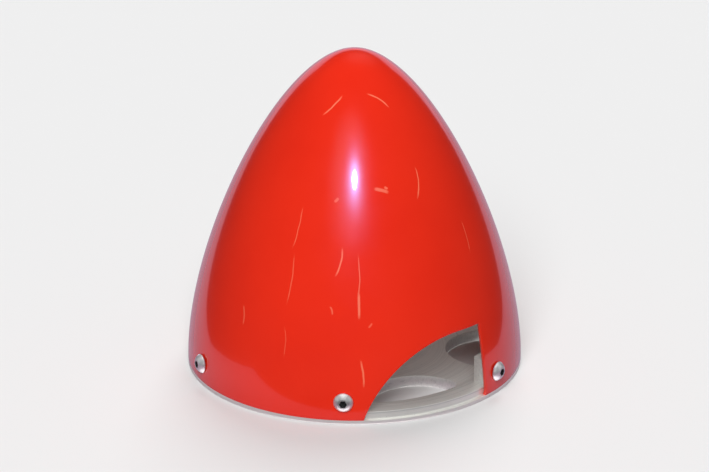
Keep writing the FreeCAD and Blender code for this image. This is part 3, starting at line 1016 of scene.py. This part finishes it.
def aim_sun(name, share, width, azimuth, elevation):
    """Soft light of the same strength everywhere, which leaves no glare in the gloss."""
    data = bpy.data.lights.new(name, "SUN")
    data.energy = share * math.pi
    data.angle = width
    back = direction(azimuth, elevation)
    link_aimed(data, back, back).visible_glossy = False


def from_camera(settings, x, y):
    """How far a place lies beyond the object, from the camera, and how far to either side."""
    cosine, sine = math.cos(settings.azimuth), math.sin(settings.azimuth)
    return y * cosine - x * sine, abs(x * cosine + y * sine)


def make_world(settings, colours):
    """Even light for the object, whose gloss shows a white backdrop in a dark room."""
    world = bpy.data.worlds.new("studio")
    bpy.context.scene.world = world
    shader = Shader(world)
    x, y, z = shader.split(shader.node("ShaderNodeTexCoord").outputs["Generated"])
    beyond, aside = from_camera(settings, x, y)
    backdrop = (beyond - aside * 1.45).fade(-0.03, 0.03) * z.fade(0.36, 0.46, low=1.0, high=0.0)
    mirrored = shader.mix(backdrop, colours.room, colours.sheen)
    lit = settings.ambient
    mirror = shader.ray("Glossy").most(shader.ray("Transmission"))
    tone = shader.mix(mirror, (lit, lit, lit * 1.02), mirrored)
    tone = shader.mix(shader.ray("Camera"), tone, colours.backdrop)
    background = shader.node("ShaderNodeBackground", inputs={"Color": tone, "Strength": 1.0})
    shader.node("ShaderNodeOutputWorld", inputs={"Surface": background.outputs[0]})


def make_floor(settings, colours):
    """A wide pale floor, clear from below. The gloss shows it dark, with a white sheet.

    The sheet starts in front of the object, and widens behind the shaft axis.
    """
    material, shader = new_material("studio_floor")
    place = shader.place()
    x, y = shader.split(place)[:2]
    beyond, aside = from_camera(settings, x, y)
    front = beyond.fade(-63 * MM, -60 * MM)
    sides = (aside - beyond.most(0.0) * 0.69).fade(94 * MM, 98 * MM, low=1.0, high=0.0)
    mirrored = shader.mix(front * sides * 0.7, colours.room, colours.sheen)
    patches = shader.noise(place, scale=3.0) * 0.03
    tone = shader.mix(patches, colours.floor, colours.floor_shade)
    tone = shader.mix(shader.ray("Camera"), colours.floor_bounce, tone)
    tone = shader.mix(shader.ray("Glossy"), tone, mirrored)
    top = shader.node("ShaderNodeBsdfDiffuse", inputs={"Color": tone}).outputs[0]
    clear = shader.node("ShaderNodeBsdfTransparent").outputs[0]
    below = shader.node("ShaderNodeNewGeometry").outputs["Backfacing"]
    both = shader.node("ShaderNodeMixShader", inputs={0: below, 1: top, 2: clear})
    shader.node("ShaderNodeOutputMaterial", inputs={"Surface": both.outputs[0]})
    mesh = bmesh.new()
    level = Matrix.Translation((0, 0, plate_low.z - 0.1 * MM))
    bmesh.ops.create_circle(mesh, cap_ends=True, segments=96, radius=4.0, matrix=level)
    floor = finish_mesh(mesh, "studio_floor", [material])
    floor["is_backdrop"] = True


def light_object(settings, aim):
    """The key and the fill, the spark in the cone's gloss, and the soft lamps for the metal."""
    front = settings.azimuth
    turned = {"key_light": (-6.0, 42.0), "fill_light": (170.0, 50.0)}
    for name, (turn, rise) in turned.items():
        aim_sun(
            name, getattr(settings, name), settings.sun_width,
            front + math.radians(turn), math.radians(rise),
        )
    spark = aim_lamp(
        "spark_lamp", size=0.085, power=settings.spark_power, azimuth=front,
        elevation=math.radians(37.4), distance=1.0, aim=Vector((0.0, 0.0, 0.065)),
        tint=(0.15, 0.43, 1.0),
    )
    spark.visible_diffuse = False
    gloss = bpy.data.collections.new("gloss_pieces")
    metal = bpy.data.collections.new("metal_pieces")
    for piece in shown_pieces():
        (gloss if piece.name == "spinner_cone" else metal).objects.link(piece)
    spark.light_linking.receiver_collection = gloss
    for name, turn, rise, part, through in METAL_LAMPS:
        lamp = aim_lamp(
            f"metal_lamp_{name}", size=2.4, power=settings.metal_power * part,
            azimuth=front + math.radians(turn), elevation=math.radians(rise), distance=1.7, aim=aim,
        )
        lamp.light_linking.receiver_collection = metal
        if through:
            lamp.light_linking.blocker_collection = metal


def add_camera(settings, aim):
    """The camera, at its distance from the aim."""
    data = bpy.data.cameras.new("camera")
    data.lens = settings.lens
    data.sensor_width = 36.0
    data.clip_start = 0.01
    back = direction(settings.azimuth, settings.elevation)
    return link_aimed(data, back, aim + back * settings.distance)


class SPINNER_OT_cone(bpy.types.Operator):
    """Build the moulded cone"""

    bl_idname = "spinner.cone"
    bl_label = "Cone"

    def execute(self, context):
        scene = context.scene
        piece = build_cone(scene.spinner_cone, scene.spinner_colours)
        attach(piece, "root")
        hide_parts("cone")
        return {"FINISHED"}


class SPINNER_OT_backplate(bpy.types.Operator):
    """Build the machined backplate"""

    bl_idname = "spinner.backplate"
    bl_label = "Backplate"

    def execute(self, context):
        scene = context.scene
        piece = build_backplate(scene.spinner_plate, scene.spinner_colours)
        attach(piece, "root")
        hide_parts("backplate")
        return {"FINISHED"}


class SPINNER_OT_screws(bpy.types.Operator):
    """Build the six button-head screws"""

    bl_idname = "spinner.screws"
    bl_label = "Screws"

    def execute(self, context):
        scene = context.scene
        sizes = scene.spinner_screw
        materials = [make_steel(scene.spinner_colours), make_thread_and_socket_shade(scene.spinner_colours)]
        seat = screw_high.x - sizes.head_height
        level = (screw_low.z + screw_high.z) / 2
        home = Matrix.Translation((seat, 0, level))
        for order in range(SCREWS):
            mesh = build_screw_mesh(sizes)
            turn = Matrix.Rotation(order * 2 * math.pi / SCREWS, 4, "Z")
            bmesh.ops.transform(mesh, matrix=turn @ home, verts=mesh.verts)
            piece = finish_mesh(mesh, f"button_screw_{order + 1}", materials)
            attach(piece, "root")
            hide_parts(f"cone_screw_{order + 1}")
        return {"FINISHED"}


class SPINNER_OT_stage(bpy.types.Operator):
    """Set the floor, the lamps and the camera"""

    bl_idname = "spinner.stage"
    bl_label = "Stage"

    def execute(self, context):
        scene = context.scene
        settings = scene.spinner_stage
        aim = Vector((0.0, 0.0, settings.aim_height))
        make_floor(settings, scene.spinner_colours)
        make_world(settings, scene.spinner_colours)
        light_object(settings, aim)
        scene.camera = add_camera(settings, aim)
        scene.view_settings.view_transform = "Standard"
        return {"FINISHED"}


class SPINNER_PT_panel(bpy.types.Panel):
    """Build buttons of the spinner"""

    bl_label = "Propeller Spinner"
    bl_idname = "SPINNER_PT_panel"
    bl_space_type = "VIEW_3D"
    bl_region_type = "UI"
    bl_category = "Spinner"

    def draw(self, context):
        for operator in OPERATORS:
            self.layout.operator(operator.bl_idname)
        for settings in GROUPS:
            box = self.layout.box()
            group = getattr(context.scene, settings)
            for name in group.__annotations__:
                box.prop(group, name)


OPERATORS = (SPINNER_OT_cone, SPINNER_OT_backplate, SPINNER_OT_screws, SPINNER_OT_stage)
GROUPS = {
    "spinner_cone": ConeSizes,
    "spinner_plate": PlateSizes,
    "spinner_screw": ScrewSizes,
    "spinner_colours": SpinnerColours,
    "spinner_stage": StageSettings,
}


def register():
    for item in (*GROUPS.values(), *OPERATORS, SPINNER_PT_panel):
        bpy.utils.register_class(item)
    for name, group in GROUPS.items():
        setattr(bpy.types.Scene, name, bpy.props.PointerProperty(type=group))


def unregister():
    for name in GROUPS:
        delattr(bpy.types.Scene, name)
    for item in (SPINNER_PT_panel, *reversed(OPERATORS), *reversed(GROUPS.values())):
        bpy.utils.unregister_class(item)


def main():
    register()
    bpy.ops.spinner.cone()
    bpy.ops.spinner.backplate()
    bpy.ops.spinner.screws()
    bpy.ops.spinner.stage()


if __name__ == "__main__":
    main()
